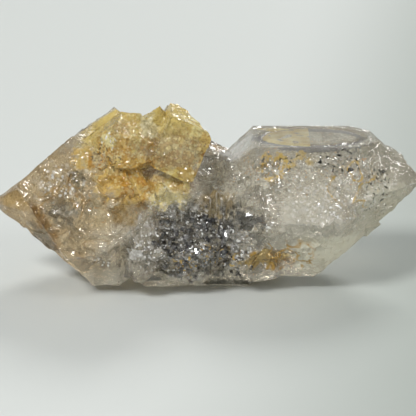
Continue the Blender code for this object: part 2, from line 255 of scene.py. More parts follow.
stainsAndPaintedHighlights = [
    # place, reach, colour, clearness, strength, pattern
    ((-29.0, -6.0, 18.0), (18.0, 17.0, 18.0), "#f3ce8c", 0.78, 0.75, "all"),  # the left point is warmer
    ((-41.0, -4.0, 19.5), (5.5, 6.0, 3.5), "#cfa65a", 0.70, 0.75, "all"),  # haze in its tip
    ((-33.0, -6.0, 11.0), (5.5, 7.0, 4.0), "#6d5f45", 0.80, 0.85, "all"),  # smoke along its lower edge
    ((-35.0, -10.0, 16.0), (2.6, 6.0, 4.6), "#9c7030", 0.68, 0.95, "all"),
    ((-31.5, -11.0, 11.0), (2.8, 6.0, 4.6), "#9c7030", 0.68, 0.90, "all"),
    ((-28.5, -12.5, 18.3), (4.6, 4.0, 2.6), "#857f76", 0.85, 0.75, "all"),  # grey hollow
    ((-26.5, -12.0, 25.5), (1.6, 4.0, 2.6), "#6d6240", 0.80, 0.80, "all"),  # dark groove
    ((-28.0, -11.0, 24.0), (9.0, 6.0, 7.0), "#fffdf4", 0.45, 0.70, "pale facets"),
    ((-27.0, -12.0, 16.0), (11.0, 6.0, 12.0), "#6a5d45", 0.85, 0.55, "dark facets"),
    ((-28.0, -12.0, 21.0), (10.0, 6.0, 7.0), "#b98a3c", 0.60, 0.70, "veins"),
    ((-21.0, -15.0, 20.5), (2.8, 4.0, 8.0), "#dcc593", 0.66, 0.35, "all"),  # milky facet
    ((-24.5, -10.4, 29.8), (3.0, 4.0, 2.6), "#efd183", 0.55, 0.60, "all"),  # rusty shoulder
    ((-24.5, -10.4, 29.8), (3.8, 4.0, 3.0), "#e8bc58", 0.45, 0.80, "patches"),
    ((-18.0, -7.0, 36.0), (10.0, 13.0, 7.5), "#fcdf7e", 0.52, 0.94, "all"),  # left golden block
    ((-15.5, -14.0, 26.6), (8.4, 6.0, 6.6), "#fad069", 0.50, 0.94, "all"),
    ((-19.0, -13.0, 37.5), (4.5, 5.0, 2.0), "#cdbb86", 0.60, 0.65, "all"),
    ((-14.5, -15.0, 25.0), (4.2, 5.0, 4.2), "#e8a13c", 0.50, 0.80, "patches"),
    ((-21.5, -13.0, 29.0), (2.4, 5.0, 2.4), "#d8963c", 0.50, 0.80, "patches"),
    ((-15.5, -16.5, 20.0), (4.8, 5.0, 3.6), "#b08b3c", 0.62, 0.70, "all"),
    ((-15.5, -16.5, 20.5), (5.4, 5.0, 4.4), "#94691a", 0.60, 0.80, "patches"),
    ((-4.5, -5.0, 38.0), (10.0, 14.0, 6.0), "#fadf80", 0.50, 0.95, "all"),  # right golden block
    ((0.8, -9.0, 32.5), (3.0, 8.0, 7.0), "#f3d070", 0.45, 0.95, "all"),
    ((0.8, -9.0, 32.5), (3.6, 8.0, 7.0), "#a5701f", 0.50, 0.80, "specks"),
    ((-6.0, -13.0, 31.5), (6.4, 5.0, 8.0), "#e6cf86", 0.62, 0.75, "all"),
    ((-5.0, -14.0, 25.8), (6.0, 5.0, 3.6), "#f6d878", 0.45, 0.92, "all"),
    ((-6.5, -15.0, 22.0), (6.0, 5.0, 4.0), "#fcebae", 0.38, 0.97, "all"),
    # painted glints on the pale-golden granular zone
    ((-6.5, -15.0, 22.0), (6.0, 5.0, 4.0), "#ffffff", 0.30, 0.70, "painted glints"),
    ((-16.0, -12.0, 30.0), (10.0, 9.0, 9.0), "#b87e2a", 0.50, 0.45, "dark facets"),
    ((-16.0, -12.0, 31.0), (10.0, 9.0, 8.0), "#d09a36", 0.45, 0.60, "patches"),
    ((-3.0, -10.0, 30.0), (7.0, 9.0, 9.0), "#a8701f", 0.50, 0.50, "dark facets"),
    ((-12.0, -11.0, 31.0), (16.0, 10.0, 11.0), "#fff0ae", 0.42, 0.45, "pale facets"),
    # painted glints over the golden blocks
    ((-12.0, -11.0, 31.0), (15.0, 10.0, 10.0), "#fff3b8", 0.40, 0.55, "painted glints"),
    ((-20.0, -12.0, 30.5), (5.0, 5.0, 3.5), "#3a2c18", 0.50, 0.65, "specks"),
    # painted highlights: pale spots on the golden blocks that stand in for reflections of the lamps
    ((-20.4, -14.0, 34.6), (2.6, 4.0, 2.0), "#fff3b4", 0.35, 0.85, "all"),
    ((-20.4, -14.0, 34.6), (2.6, 4.0, 2.2), "#ffffff", 0.20, 0.95, "painted glints"),
    ((-11.6, -9.0, 36.4), (2.4, 6.0, 3.2), "#fff6cc", 0.35, 0.85, "all"),
    ((-0.6, -9.0, 36.6), (3.4, 6.0, 2.4), "#fff3b4", 0.35, 0.90, "patches"),
    ((-4.0, -14.0, 12.5), (14.5, 9.0, 9.0), "#b0aca6", 0.86, 0.92, "all"),  # dark waist
    ((2.5, -11.5, 20.0), (4.5, 6.0, 4.5), "#c9b180", 0.72, 0.90, "all"),
    ((2.5, -11.5, 20.0), (4.5, 6.0, 4.5), "#fffaf0", 0.45, 0.80, "stripes"),
    ((-11.0, -15.5, 15.0), (4.0, 5.0, 6.0), "#c6bcac", 0.80, 0.75, "all"),
    # dark facets on the waist: smoky colour, and in part painted dark refraction
    ((-17.0, -14.0, 9.0), (6.5, 6.0, 6.0), "#4a443c", 0.80, 0.60, "dark facets"),
    ((-11.0, -15.5, 14.0), (4.0, 5.0, 6.0), "#fffaf0", 0.50, 0.55, "stripes"),
    ((-1.0, -13.0, 12.5), (12.0, 9.0, 9.5), "#202024", 0.85, 0.75, "dark facets"),
    ((6.5, -13.0, 14.5), (9.0, 8.0, 8.0), "#47464a", 0.85, 0.65, "dark facets"),
    # painted glints: white facets on the waist that stand in for small sparkles of light
    ((-3.0, -13.0, 13.0), (15.0, 9.0, 10.0), "#ffffff", 0.45, 0.60, "pale facets"),
    ((-3.0, -13.0, 12.0), (15.0, 9.0, 9.0), "#ffffff", 0.25, 0.95, "painted glints"),
    ((-10.6, -15.6, 19.3), (2.2, 4.0, 2.4), "#ffffff", 0.30, 0.80, "pale facets"),
    ((-14.5, -15.0, 11.0), (2.4, 4.0, 2.0), "#ffffff", 0.30, 0.90, "pale facets"),
    # painted glints at single sparkle spots on the waist and along the left point
    ((13.0, -14.5, 16.0), (1.8, 4.0, 2.6), "#ffffff", 0.30, 0.95, "painted glints"),
    ((-21.5, -13.0, 8.5), (3.0, 5.0, 2.6), "#ffffff", 0.30, 0.95, "painted glints"),
    ((-30.0, -10.0, 24.5), (4.6, 5.0, 3.6), "#ffffff", 0.30, 0.90, "painted glints"),
    ((1.0, -13.0, 8.0), (10.0, 9.0, 5.0), "#e9c46a", 0.42, 0.95, "specks"),
    ((8.8, -15.0, 17.6), (3.4, 5.0, 2.4), "#4e4f55", 0.85, 0.90, "all"),
    ((3.0, -13.0, 4.0), (5.0, 6.0, 2.4), "#85837f", 0.85, 0.80, "all"),
    ((21.0, -13.0, 15.5), (11.0, 6.0, 8.5), "#efece0", 0.64, 0.70, "all"),  # milky middle
    ((37.0, -6.0, 17.0), (9.0, 12.0, 9.0), "#fffbe6", 0.62, 0.75, "all"),
    ((27.0, -12.0, 8.5), (12.0, 9.0, 6.5), "#fffbe6", 0.52, 0.88, "all"),
    ((12.5, -12.0, 8.3), (6.5, 6.0, 2.8), "#d9b45c", 0.55, 0.90, "all"),  # amber ledge
    ((14.5, -12.0, 8.3), (6.0, 6.0, 3.2), "#6b4613", 0.60, 0.70, "dark facets"),
    ((16.0, -12.0, 9.0), (9.0, 6.0, 4.5), "#c79a40", 0.50, 0.90, "veins"),
    ((19.0, -11.0, 8.0), (5.0, 6.0, 2.5), "#c49a40", 0.50, 0.85, "specks"),
    ((14.5, -9.5, 28.4), (5.0, 4.0, 3.2), "#ddba60", 0.50, 0.85, "patches"),  # rust under the window
    ((13.6, -9.5, 26.6), (3.4, 4.0, 3.6), "#e0b64e", 0.50, 0.80, "patches"),
    ((19.0, -9.5, 29.5), (5.0, 4.0, 1.6), "#d8b862", 0.50, 0.75, "patches"),
    ((13.0, -9.5, 24.0), (7.0, 6.0, 6.0), "#6d6250", 0.70, 0.60, "dark facets"),
    ((30.0, -10.0, 24.0), (7.0, 6.0, 6.5), "#dbb558", 0.50, 0.95, "veins"),
    # painted glints on the right point
    ((26.5, -14.0, 19.5), (2.4, 4.0, 1.8), "#ffffff", 0.30, 0.95, "painted glints"),
    ((30.0, -15.0, 19.0), (2.4, 4.0, 1.8), "#ffffff", 0.30, 0.95, "painted glints"),
    ((27.0, -10.0, 22.0), (17.0, 9.0, 9.0), "#ffffff", 0.40, 0.45, "painted glints"),
    ((6.5, 1.0, 29.5), (4.2, 8.0, 5.5), "#ffffff", 0.72, 0.85, "all"),  # pale end face
    ((27.0, -12.0, 20.0), (13.0, 7.0, 7.0), "#ffffff", 0.50, 0.30, "pale facets"),
    ((28.5, -10.0, 28.4), (7.5, 5.0, 2.6), "#1a1816", 0.40, 1.00, "specks"),
    ((16.0, -10.0, 29.0), (8.0, 4.0, 1.8), "#2b2620", 0.50, 0.80, "specks"),
    ((36.0, -7.0, 22.0), (4.0, 7.0, 6.0), "#24221f", 0.50, 0.90, "specks"),
    ((0.0, 9.0, 18.0), (46.0, 13.0, 16.0), "#c08f42", 0.60, 0.60, "veins"),  # the back
    ((0.0, 9.0, 18.0), (46.0, 13.0, 16.0), "#fdfbf2", 0.50, 0.50, "pale facets"),
    # dark facets on the back of the waist: smoky colour and in part painted dark refraction; then
    # painted glints
    ((0.0, 14.0, 13.0), (14.0, 8.0, 11.0), "#2a2a2e", 0.85, 0.65, "dark facets"),
    ((0.0, 14.0, 12.0), (14.0, 8.0, 11.0), "#ffffff", 0.30, 0.90, "painted glints"),
    ((-8.0, 12.0, 25.0), (16.0, 9.0, 8.0), "#e0ad4e", 0.50, 0.60, "patches"),
    ((24.0, 12.0, 10.0), (9.0, 8.0, 4.0), "#c9a04a", 0.55, 0.60, "patches"),
]
etchedPlaces = [
    # place, reach, how strongly: faces that are etched all over
    ((-3.0, -12.0, 13.0), (15.0, 11.0, 11.0), 1.0),
    ((-12.0, -10.0, 31.0), (16.0, 11.0, 12.0), 1.0),
    ((14.0, -12.0, 8.0), (8.0, 6.0, 4.0), 0.8),
    ((-27.0, -5.0, 34.0), (6.0, 9.0, 4.5), 1.0),
    ((-28.0, -11.0, 24.0), (8.0, 6.0, 6.0), 0.9),
    ((0.0, 12.0, 15.0), (14.0, 9.0, 12.0), 1.0),
]
smoothPlaces = [
    # place, reach: faces that grew flat and bright
    ((22.0, 0.0, 32.0), (13.5, 9.0, 1.6)),
    ((6.5, 2.0, 29.0), (4.5, 9.0, 5.0)),
    ((8.8, -15.5, 17.6), (3.6, 5.0, 2.6)),
    ((3.0, -13.0, 4.5), (6.0, 6.0, 2.6)),
    ((30.0, -8.0, 10.0), (10.0, 8.0, 3.5)),
]


def makeQuartz(looks):
    # Natural quartz, grown in water: clear to smoky glass with rust stains, etched fine
    # between the stains, so that it is see-through, sparkles and never looks even. Part of the
    # sparkle and the bright spots on the golden blocks are painted glints and highlights.
    material, tree = newMaterial("natural quartz, grown and etched")
    add = partial(addNode, tree)
    place = add("ShaderNodeTexCoord")["Object"]
    rough = looks["noiseRoughness"]
    shown = {}
    for name, (size, detail, low, high) in looks["noises"].items():
        value = add("ShaderNodeTexNoise", {"Vector": place, "Scale": 1 / (size * mm),
                                           "Detail": detail, "Roughness": rough})["Fac"]
        shown[name] = add("ShaderNodeMapRange", {"Value": value, "From Min": low, "From Max": high})[0]
    ragged = looks["ragged"]
    shift = add("ShaderNodeTexNoise", {"Vector": place, "Scale": 1 / (ragged["size"] * mm),
                                       "Detail": ragged["detail"], "Roughness": rough})["Color"]
    shift = add("ShaderNodeVectorMath", {0: shift, 1: (0.5, 0.5, 0.5)}, operation="SUBTRACT")[0]
    wandering = add("ShaderNodeVectorMath", {0: shift, 1: (ragged["by"] * 2 * mm,) * 3, 2: place},
                    operation="MULTIPLY_ADD")[0]

    def nearness(at, centre, reach, fade):  # 1 at a place, 0 beyond its reach
        inReach = add("ShaderNodeMapping", {"Vector": at, "Location": Vector(centre) * mm,
                                            "Scale": Vector(reach) * mm}, vector_type="TEXTURE")[0]
        middle = add("ShaderNodeTexGradient", {0: inReach}, gradient_type="SPHERICAL")["Fac"]
        return add("ShaderNodeMapRange", {"Value": middle, "From Max": fade})[0]

    even = 0.0
    for centre, reach in smoothPlaces:
        there = nearness(place, centre, reach, looks["smoothEdge"])
        even = add("ShaderNodeMath", {0: even, 1: there}, operation="MAXIMUM")[0]
    uneven = add("ShaderNodeMath", {0: 1.0, 1: even}, operation="SUBTRACT")[0]
    least, most = looks["etching"]
    etching = add("ShaderNodeMapRange", {"Value": shown["etching"], "To Min": least, "To Max": most})[0]
    for centre, reach, strength in etchedPlaces:
        there = nearness(wandering, centre, reach, looks["stainEdge"])
        there = add("ShaderNodeMath", {0: there, 1: strength}, operation="MULTIPLY")[0]
        etching = add("ShaderNodeMath", {0: etching, 1: there}, operation="MAXIMUM")[0]
    etching = add("ShaderNodeMath", {0: etching, 1: uneven}, operation="MULTIPLY")[0]

    # flat facets, each with a tilt and a tone of its own
    relief, tones = 0.0, {}
    for name, facets in looks["facets"].items():
        cells = add("ShaderNodeTexVoronoi", {"Vector": place, "Scale": 1 / (facets["size"] * mm)})
        tones[name] = add("ShaderNodeSeparateColor", {0: cells["Color"]})
        tilt = add("ShaderNodeVectorMath", {0: cells["Color"], 1: (0.5, 0.5, 0.5)},
                   operation="SUBTRACT")[0]
        inCell = add("ShaderNodeVectorMath", {0: place, 1: cells["Position"]}, operation="SUBTRACT")[0]
        height = add("ShaderNodeVectorMath", {0: tilt, 1: inCell}, operation="DOT_PRODUCT")["Value"]
        if name == "tiny":
            height = add("ShaderNodeMath", {0: height, 1: shown["sparkling"]}, operation="MULTIPLY")[0]
        relief = add("ShaderNodeMath", {0: height, 1: facets["slope"], 2: relief},
                     operation="MULTIPLY_ADD")[0]
    relief = add("ShaderNodeMath", {0: relief, 1: etching}, operation="MULTIPLY")[0]

    # the patterns that a stain or a painted highlight can be broken into; painted glints brighten tiny
    # facets
    found = {name: shown[name] for name in ("patches", "specks")}
    for name, parts in looks["facetPatterns"].items():
        found[name] = 0.0
        for facets, tone, low, high in parts:
            part = add("ShaderNodeMapRange", {"Value": tones[facets][tone], "From Min": low,
                                              "From Max": high})[0]
            found[name] = add("ShaderNodeMath", {0: found[name], 1: part}, operation="MAXIMUM")[0]
    veins, stripes = looks["veins"], looks["stripes"]
    bands = add("ShaderNodeTexNoise", {"Vector": place, "Scale": 1 / (veins["size"] * mm),
                                       "Detail": veins["detail"], "Roughness": rough})["Fac"]
    offMiddle = add("ShaderNodeMath", {0: bands, 1: 0.5}, operation="SUBTRACT")[0]
    offMiddle = add("ShaderNodeMath", {0: offMiddle}, operation="ABSOLUTE")[0]
    upright = add("ShaderNodeVectorMath", {0: place, 1: [1 / (side * mm) for side in (
        stripes["width"], stripes["width"], stripes["length"])]}, operation="MULTIPLY")[0]
    striped = add("ShaderNodeTexNoise", {"Vector": upright, "Scale": 1.0, "Detail": 2.0})["Fac"]
    for name, value in (("veins", offMiddle), ("stripes", striped)):
        low, high = looks[name]["fadesIn"]
        found[name] = add("ShaderNodeMapRange", {"Value": value, "From Min": low, "From Max": high})[0]
    patterns = {name: add("ShaderNodeMath", {0: value, 1: uneven}, operation="MULTIPLY")[0]
                for name, value in found.items()}
    patterns["all"] = 1.0

    colour = add("ShaderNodeMix", {"Factor": shown["clouds"], "A": hexColour(looks["clearTone"]),
                                   "B": hexColour(looks["greyTone"])}, data_type="RGBA")["Result"]
    clearness = looks["clearness"]
    # each row is a stain, or a painted highlight or glint where its colour stands in for light
    for centre, reach, stainOrPaintedHighlight, clear, strength, pattern in stainsAndPaintedHighlights:
        there = nearness(wandering, centre, reach, looks["stainEdge"])
        share = add("ShaderNodeMath", {0: there, 1: strength}, operation="MULTIPLY")[0]
        share = add("ShaderNodeMath", {0: share, 1: patterns[pattern]}, operation="MULTIPLY")[0]
        colour = add("ShaderNodeMix", {"Factor": share, "A": colour, "B": hexColour(stainOrPaintedHighlight)},
                     data_type="RGBA")["Result"]
        clearness = add("ShaderNodeMapRange", {"Value": share, "To Min": clearness, "To Max": clear})[0]
    grain = add("ShaderNodeMath", {0: shown["fineGrain"], 1: looks["grainShare"]},
                operation="MULTIPLY")[0]
    grain = add("ShaderNodeMath", {0: grain, 1: etching}, operation="MULTIPLY")[0]
    colour = add("ShaderNodeMix", {"Factor": grain, "A": colour, "B": hexColour(looks["grainTone"])},
                 data_type="RGBA", blend_type="MULTIPLY")["Result"]

    # fine streaks that lean alike on both ends, faint on the smooth faces
    streaks = looks["streaks"]
    across, depth = 1 / (streaks["width"] * mm), streaks["depth"] * mm
    mirrored = add("ShaderNodeVectorMath", {0: place}, operation="ABSOLUTE")[0]
    along = add("ShaderNodeMapping", {
        "Vector": mirrored, "Rotation": (0.0, math.radians(streaks["lean"]), 0.0),
        "Scale": (1 / (streaks["length"] * mm), across, across)})[0]
    streaked = add("ShaderNodeTexNoise", {"Vector": along, "Scale": 1.0, "Detail": 2.0})["Fac"]
    depth = add("ShaderNodeMapRange", {"Value": even, "To Min": depth,
                                       "To Max": depth * streaks["onSmooth"]})[0]
    relief = add("ShaderNodeMath", {0: streaked, 1: depth, 2: relief}, operation="MULTIPLY_ADD")[0]
    bump = add("ShaderNodeBump", {"Height": relief, "Strength": 1.0, "Distance": 1.0})[0]
    bright, dull = looks["roughness"]
    roughness = add("ShaderNodeMapRange", {"Value": shown["grain"], "To Min": bright,
                                           "To Max": dull})[0]
    shader = add("ShaderNodeBsdfPrincipled", {
        "Base Color": colour, "Roughness": roughness, "IOR": looks["ior"],
        "Transmission Weight": clearness, "Normal": bump})[0]
    smoke = add("ShaderNodeVolumeAbsorption", {"Color": hexColour(looks["smokeColour"]),
                                               "Density": looks["smokeDensity"]})[0]
    add("ShaderNodeOutputMaterial", {"Surface": shader, "Volume": smoke})
    return material


quartz = makeQuartz(quartzLooks)
print("quartz material made")

# The crystal's skin: the solid's own faces, refined, then worked inwards by Geometry Nodes
# with growth terraces, small etched facets and fine ridges across the long side faces.
skinSetup = {
    "longestEdge": 0.7,
    "longestOnWindow": 2.5,
    "sharpOver": 12,  # degrees
    "relief": {
        "Terrace Depth": 0.45 * mm,
        "Terrace Width": 5.5 * mm,
        "Facet Depth": 0.22,
        "Facet Size": 1.7 * mm,
        "Ridge Depth": 0.12 * mm,
        "Ridge Spacing": 0.9 * mm,
    },
}
reliefShape = {
    "terraceStep": 0.065,  # this and the next line are values of a noise
    "terracesFrom": (0.32, 0.7),
    "etchedPatch": 9.0,
    "etchedFrom": (0.40, 0.56),  # values of a noise
    "leastEtched": 0.25,  # of the full depth
    "facetLevel": 0.25,  # of a facet's size
    "inWaist": 1.6,  # times as deep
    "alongRidge": 90.0,  # per metre
    "ridgesUpTo": (0.1, 0.35),  # how far a face looks along X
    "rimFade": 1.5,
    "baseFade": (0.3, 1.0),
}
windowArea = {"left": 9.7, "height": 30.8}  # smooth and sharp edged
waist = {
    "centre": (-1.0, 0.0, 11.0),
    "reach": (13.0, 19.0, 11.0),
    "reliefFade": (0.7, 1.1),  # shares of its reach
    "crystalFade": (0.75, 1.1),
    "clearOfBase": (2.6, 3.2),  # heights where the small crystals begin
}


def onWindow(places):
    return (places[:, 0] > windowArea["left"] * mm) & (places[:, 2] > windowArea["height"] * mm)


def longestAt(places):  # how long an edge may be, by its middle
    longest = np.full(len(places), skinSetup["longestEdge"] * mm)
    longest[onWindow(places)] = skinSetup["longestOnWindow"] * mm
    return longest


def halveLongEdges(points, faces):
    # Each long edge is halved, and so is the longest edge of every face that it touches, which
    # keeps the mesh closed and its triangles well shaped.
    while True:
        pairs = np.stack([faces, np.roll(faces, -1, axis=1)], axis=2).reshape(-1, 2)
        edges, edgeOf = np.unique(np.sort(pairs, axis=1), axis=0, return_inverse=True)
        edgeOf = edgeOf.reshape(-1, 3)
        ends = points[edges]
        lengths = np.linalg.norm(ends[:, 0] - ends[:, 1], axis=1)
        split = lengths > longestAt(ends.mean(axis=1))
        if not split.any():
            return points, faces
        order = (np.argmax(lengths[edgeOf], axis=1)[:, None] + np.arange(3)) % 3
        faces = np.take_along_axis(faces, order, axis=1)
        edgeOf = np.take_along_axis(edgeOf, order, axis=1)
        found = 0
        while found != split.sum():
            found = split.sum()
            split[edgeOf[split[edgeOf].any(axis=1), 0]] = True
        middleOf = np.cumsum(split) - 1 + len(points)
        points = np.concatenate([points, ends[split].mean(axis=1)])
        a, b, c = faces.T
        ab, bc, ca = middleOf[edgeOf].T
        first, second, third = split[edgeOf].T
        pieces = [
            (~first, (a, b, c)),
            (first & ~third, (a, ab, c)),
            (first & third, (a, ab, ca)),
            (first & third, (ab, c, ca)),
            (first & ~second, (ab, b, c)),
            (first & second, (ab, b, bc)),
            (first & second, (ab, bc, c)),
        ]
        faces = np.concatenate([np.stack(corners, axis=1)[chosen] for chosen, corners in pieces])


def mergedCopy(source):  # the solid's points and triangles, with its corners merged
    bm = bmesh.new()
    bm.from_mesh(source.data)
    bmesh.ops.remove_doubles(bm, verts=bm.verts, dist=1e-6)
    bm.verts.index_update()
    points = np.array([vert.co for vert in bm.verts])
    faces = np.array([[vert.index for vert in face.verts] for face in bm.faces])
    bm.free()
    return points, faces


def newTree(name, floats, others):  # a Geometry Nodes tree with named inputs
    tree = bpy.data.node_groups.new(name, "GeometryNodeTree")
    tree.interface.new_socket("Geometry", in_out="INPUT", socket_type="NodeSocketGeometry")
    for label, value in floats.items():
        socket = tree.interface.new_socket(label, in_out="INPUT", socket_type="NodeSocketFloat")
        socket.default_value = value
    for label in others:
        tree.interface.new_socket(label, in_out="INPUT", socket_type="NodeSocket" + label)
    tree.interface.new_socket("Geometry", in_out="OUTPUT", socket_type="NodeSocketGeometry")
    return tree


def addDistance(add, place, region):  # from a region's centre, in shares of its reach
    apart = add("ShaderNodeVectorMath", {0: place, 1: Vector(region["centre"]) * mm},
                operation="SUBTRACT")[0]
    share = add("ShaderNodeVectorMath", {0: apart, 1: Vector(region["reach"]) * mm},
                operation="DIVIDE")[0]
    return add("ShaderNodeVectorMath", {0: share}, operation="LENGTH")["Value"]


def reliefTree(sizes, shape):
    tree = newTree("growth relief", sizes, ["Material"])
    add = partial(addNode, tree)
    given = add("NodeGroupInput")
    place = add("GeometryNodeInputPosition")[0]
    normal = add("GeometryNodeInputNormal")[0]
    xyz = add("ShaderNodeSeparateXYZ", {0: place})
    perMetre = {name: add("ShaderNodeMath", {0: 1.0, 1: given[name]}, operation="DIVIDE")[0]
                for name in ("Terrace Width", "Facet Size", "Ridge Spacing")}

    # growth terraces: a slow noise cut into steps
    slow = add("ShaderNodeTexNoise", {
        "Vector": place, "Scale": perMetre["Terrace Width"], "Detail": 2.0})[0]
    steps = add("ShaderNodeMath", {0: slow, 1: shape["terraceStep"]}, operation="SNAP")[0]
    low, high = shape["terracesFrom"]
    terraces = add("ShaderNodeMapRange", {"Value": steps, "From Min": low, "From Max": high,
                                          "To Max": given["Terrace Depth"]})[0]

    # etched facets: each cell is a small plane with its own tilt, deeper on the waist
    cells = add("ShaderNodeTexVoronoi", {"Vector": place, "Scale": perMetre["Facet Size"]})
    tilt = add("ShaderNodeVectorMath", {0: cells["Color"], 1: (0.5, 0.5, 0.5)}, operation="SUBTRACT")[0]
    inCell = add("ShaderNodeVectorMath", {0: place, 1: cells["Position"]}, operation="SUBTRACT")[0]
    plane = add("ShaderNodeVectorMath", {0: tilt, 1: inCell}, operation="DOT_PRODUCT")["Value"]
    plane = add("ShaderNodeMath", {0: given["Facet Size"], 1: shape["facetLevel"], 2: plane},
                operation="MULTIPLY_ADD")[0]
    facets = add("ShaderNodeMath", {0: plane, 1: given["Facet Depth"]}, operation="MULTIPLY")[0]
    patchy = add("ShaderNodeTexNoise", {
        "Vector": place, "Scale": 1 / (shape["etchedPatch"] * mm), "Detail": 1.0})[0]
    low, high = shape["etchedFrom"]
    etched = add("ShaderNodeMapRange", {"Value": patchy, "From Min": low, "From Max": high,
                                        "To Min": shape["leastEtched"]})[0]
    far = addDistance(add, place, waist)
    low, high = waist["reliefFade"]
    inWaist = add("ShaderNodeMapRange", {"Value": far, "From Min": low, "From Max": high,
                                         "To Min": shape["inWaist"], "To Max": 0.0})[0]
    etched = add("ShaderNodeMath", {0: etched, 1: inWaist}, operation="MAXIMUM")[0]
    facets = add("ShaderNodeMath", {0: facets, 1: etched}, operation="MULTIPLY")[0]

    # fine ridges across the long side faces
    stretch = add("ShaderNodeCombineXYZ", {0: perMetre["Ridge Spacing"], 1: shape["alongRidge"],
                                           2: shape["alongRidge"]})[0]
    across = add("ShaderNodeVectorMath", {0: place, 1: stretch}, operation="MULTIPLY")[0]
    ridged = add("ShaderNodeTexNoise", {"Vector": across, "Scale": 1.0, "Detail": 2.0})[0]
    endways = add("ShaderNodeVectorMath", {0: normal}, operation="ABSOLUTE")[0]
    endways = add("ShaderNodeSeparateXYZ", {0: endways})["X"]
    low, high = shape["ridgesUpTo"]
    depth = add("ShaderNodeMapRange", {"Value": endways, "From Min": low, "From Max": high,
                                       "To Min": given["Ridge Depth"], "To Max": 0.0})[0]
    total = add("ShaderNodeMath", {0: ridged, 1: depth, 2: terraces}, operation="MULTIPLY_ADD")[0]
    total = add("ShaderNodeMath", {0: total, 1: facets}, operation="ADD")[0]

    # nothing on the window or at the base
    window = 1.0
    for axis, edge in (("X", windowArea["left"]), ("Z", windowArea["height"])):
        window = add("ShaderNodeMapRange", {
            "Value": xyz[axis], "From Min": (edge - shape["rimFade"]) * mm, "From Max": edge * mm,
            "To Max": window})[0]
    kept = add("ShaderNodeMapRange", {"Value": window, "To Min": -1.0, "To Max": 0.0})[0]
    low, high = shape["baseFade"]
    kept = add("ShaderNodeMapRange", {"Value": xyz["Z"], "From Min": low * mm, "From Max": high * mm,
                                      "To Max": kept})[0]
    inwards = add("ShaderNodeMath", {0: total, 1: kept}, operation="MULTIPLY")[0]
    offset = add("ShaderNodeVectorMath", {0: normal, "Scale": inwards}, operation="SCALE")[0]
    moved = add("GeometryNodeSetPosition", {"Geometry": given["Geometry"], "Offset": offset})[0]
    finished = add("GeometryNodeSetMaterial", {"Geometry": moved, "Material": given["Material"]})[0]
    add("NodeGroupOutput", {"Geometry": finished})
    return tree


def grow(obj, tree, **given):
    # Runs a tree on an object and leaves the result as its plain mesh. Inputs go by identifier.
    modifier = obj.modifiers.new(tree.name, "NODES")
    modifier.node_group = tree
    named = {item.name: item.identifier for item in tree.interface.items_tree if item.in_out == "INPUT"}
    for name, value in given.items():
        modifier[named[name]] = value
    evaluated = obj.evaluated_get(bpy.context.evaluated_depsgraph_get())
    mesh = bpy.data.meshes.new_from_object(evaluated)
    obj.modifiers.remove(modifier)
    obj.data = mesh
    mesh.name = obj.name
    return obj


def makeSkin(setup):
    points, faces = halveLongEdges(*mergedCopy(rawCrystal))
    mesh = bpy.data.meshes.new("quartz_skin")
    mesh.from_pydata(points, [], faces.tolist())
    tree = reliefTree(setup["relief"], reliefShape)
    obj = grow(newObject("quartz_skin", mesh), tree, Material=quartz)
    obj.data.shade_smooth()
    obj.data.set_sharp_from_angle(angle=math.radians(setup["sharpOver"]))
    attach(obj, "root")
    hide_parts("quartz_crystal")
    print("skin made:", len(obj.data.polygons), "triangles")
    return obj


skin = makeSkin(skinSetup)
skinFaces = BVHTree.FromPolygons([vert.co for vert in skin.data.vertices],
                                 [tuple(face.vertices) for face in skin.data.polygons])

# Small crystals grown on the waist: six-sided, with a six-faced point.
smallCrystals = {
    "Density": 3.0e5,  # per square metre
    "Smallest": 0.35 * mm,
    "Largest": 1.5 * mm,
    "Lean": 0.9,
}
clearLooks = {
    "clear": "#ffffff",
    "grey": "#77767c",
    "toneSize": 1.1,
    "greyUpTo": (0.3, 0.6),  # of a cell's random value
    "roughness": 0.02,
    "ior": 1.544,
    "clearness": 0.9,
}
pointForm = {"radius": 0.42, "root": -0.6, "shoulder": 0.45, "tip": (0.05, 0.03, 0.95)}
scatterForm = {"seed": 4, "leanSeed": 9, "fullTurn": 6.283}  # the turn in radians


def makeClearQuartz(looks):  # young quartz points: clean, with bright flat faces, some of them grey
    material, tree = newMaterial("clear quartz, newly grown")
    add = partial(addNode, tree)
    place = add("ShaderNodeTexCoord")["Object"]
    cells = add("ShaderNodeTexVoronoi", {
        "Vector": place, "Scale": 1 / (looks["toneSize"] * mm)})["Color"]
    low, high = looks["greyUpTo"]
    share = add("ShaderNodeMapRange", {"Value": cells, "From Min": low, "From Max": high})[0]
    tone = add("ShaderNodeMix", {"Factor": share, "A": hexColour(looks["grey"]),
                                 "B": hexColour(looks["clear"])}, data_type="RGBA")["Result"]
    shader = add("ShaderNodeBsdfPrincipled", {
        "Base Color": tone, "Roughness": looks["roughness"], "IOR": looks["ior"],
        "Transmission Weight": looks["clearness"]})[0]
    add("ShaderNodeOutputMaterial", {"Surface": shader})
    return material


def hexPoint(form):  # a unit crystal along +Z, rooted below the origin
    bm = bmesh.new()
    around = [(form["radius"] * math.cos(math.pi / 3 * i), form["radius"] * math.sin(math.pi / 3 * i))
              for i in range(6)]
    rings = [[bm.verts.new((x, y, z)) for x, y in around] for z in (form["root"], form["shoulder"])]
    tip = bm.verts.new(form["tip"])
    for i in range(6):
        j = (i + 1) % 6
        bm.faces.new((rings[0][i], rings[0][j], rings[1][j], rings[1][i]))
        bm.faces.new((rings[1][i], rings[1][j], tip))
    bm.faces.new(rings[0][::-1])
    mesh = bpy.data.meshes.new("hex_point")
    bm.to_mesh(mesh)
    bm.free()
    return mesh


